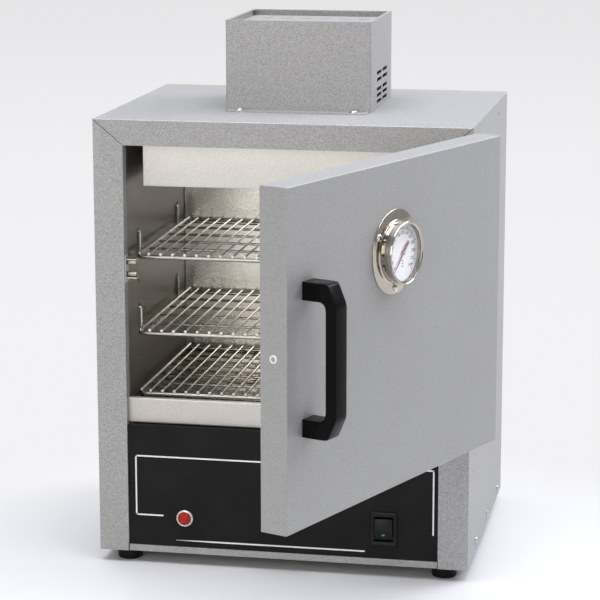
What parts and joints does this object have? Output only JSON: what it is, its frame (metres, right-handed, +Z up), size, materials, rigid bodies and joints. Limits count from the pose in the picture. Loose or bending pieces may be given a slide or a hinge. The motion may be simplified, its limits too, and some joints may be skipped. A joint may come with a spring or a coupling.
{
  "type": "laboratory oven",
  "caption": "Bench-top laboratory oven with an open right-hung door, dial thermometer, wire shelves, black control panel and a vented blower box on its roof.",
  "frame": {"origin": "bottom centre of the whole oven's box, with its door open at rest", "axes": "+Z up, the cabinet's front faces -Y, +X to the right seen from the front"},
  "size_m": [0.3986, 0.6528, 0.535],
  "materials": {
    "painted_steel": "silver-grey fleck paint",
    "door_paint": "silver-grey fleck paint",
    "chamber_steel": "bright rolled steel sheet",
    "panel_black": "fine black texture paint",
    "shelf_wire": "bright plated wire",
    "nickel": "polished nickel plate",
    "zinc": "bright zinc plate",
    "brass": "dull brass",
    "black_plastic": "fine grained black moulding",
    "gloss_black": "smooth black moulding",
    "black_rubber": "matt black rubber",
    "red_lens": "clear red plastic",
    "dial_white": "white enamel",
    "pointer_red": "red enamel",
    "clear_glass": "clear flat glass",
    "mineral_wool": "resin-bonded mineral wool",
    "dark_steel": "oxidised steel sheath",
    "motor_enamel": "dark motor enamel",
    "thermostat_steel": "plated steel case"
  },
  "bodies": {
    "cabinet": {"outer_shell": "painted_steel", "base_pan": "painted_steel", "feet": "black_rubber", "foot_screws": "zinc", "cabinet_screws": "zinc", "rear_panel": "painted_steel", "cord_gland": "black_plastic", "control_panel": "panel_black", "pilot_bezel": "nickel", "pilot_lens": "red_lens", "switch_housing": "gloss_black", "thermostat_body": "thermostat_steel", "thermostat_bulb": "brass", "chamber_sill": "chamber_steel", "chamber_liner": "chamber_steel", "insulation_jacket": "mineral_wool", "compartment_divider": "zinc", "floor_baffle": "chamber_steel", "heater_element": "dark_steel", "heater_brackets": "zinc", "top_baffle": "chamber_steel", "support_wires_left": "shelf_wire", "support_wires_right": "shelf_wire", "door_catch": "zinc", "catch_rollers": "brass", "motor_mount": "zinc", "blower_motor": "motor_enamel", "vent_box": "painted_steel", "vent_grille": "painted_steel", "vent_screws": "zinc", "hinge_leaves_cabinet": "zinc", "hinge_pins": "zinc"},
    "door": {"hinge_leaves_door": "zinc", "door_skin": "door_paint", "door_liner": "chamber_steel", "door_insulation": "mineral_wool", "door_handle": "black_plastic", "handle_screws": "zinc", "door_strike": "zinc", "edge_screw": "brass", "thermometer_flange": "nickel", "thermometer_screws": "nickel", "thermometer_case": "nickel", "thermometer_dial": "dial_white", "thermometer_lens": "clear_glass", "thermometer_bezel": "nickel", "thermometer_stem": "zinc"},
    "pointer": {"thermometer_pointer": "pointer_red"},
    "rocker": {"switch_rocker": "gloss_black"},
    "knob": {"thermostat_knob": "gloss_black", "thermostat_shaft": "zinc"},
    "blower": {"motor_shaft": "zinc", "fan_wheel": "zinc"},
    "shelf_upper": {"shelf_upper": "shelf_wire"},
    "shelf_middle": {"shelf_middle": "shelf_wire"},
    "shelf_lower": {"shelf_lower": "shelf_wire"}
  },
  "joints": [
    {"name": "door_hinge", "type": "hinge", "parent": "cabinet", "child": "door", "pos_m": [0.1758, 0.02161, 0.29565], "axis": [0, 0, 1], "range_deg": [-68, 102]},
    {"name": "pointer_turn", "type": "hinge", "parent": "door", "child": "pointer", "pos_m": [0.12797, -0.16884, 0.3628], "axis": [0.9272, -0.3746, 0], "range_deg": [-278, 4], "stiffness_Nm_per_rad": 0.0005},
    {"name": "rocker_tilt", "type": "hinge", "parent": "cabinet", "child": "rocker", "pos_m": [0.0896, 0.02561, 0.049], "axis": [1, 0, 0], "range_deg": [-12, 0]},
    {"name": "knob_turn", "type": "hinge", "parent": "cabinet", "child": "knob", "pos_m": [-0.0104, 0.02261, 0.068], "axis": [0, -1, 0], "range_deg": [-270, 0]},
    {"name": "blower_spin", "type": "hinge", "parent": "cabinet", "child": "blower", "pos_m": [-0.0124, 0.17561, 0.454], "axis": [0, 0, 1], "continuous": true},
    {"name": "shelf_upper_slide", "type": "slide", "parent": "cabinet", "child": "shelf_upper", "axis": [0, -1, 0], "range_m": [0, 0.018]},
    {"name": "shelf_middle_slide", "type": "slide", "parent": "cabinet", "child": "shelf_middle", "axis": [0, -1, 0], "range_m": [0, 0.1]},
    {"name": "shelf_lower_slide", "type": "slide", "parent": "cabinet", "child": "shelf_lower", "axis": [0, -1, 0], "range_m": [0, 0.015]}
  ]
}
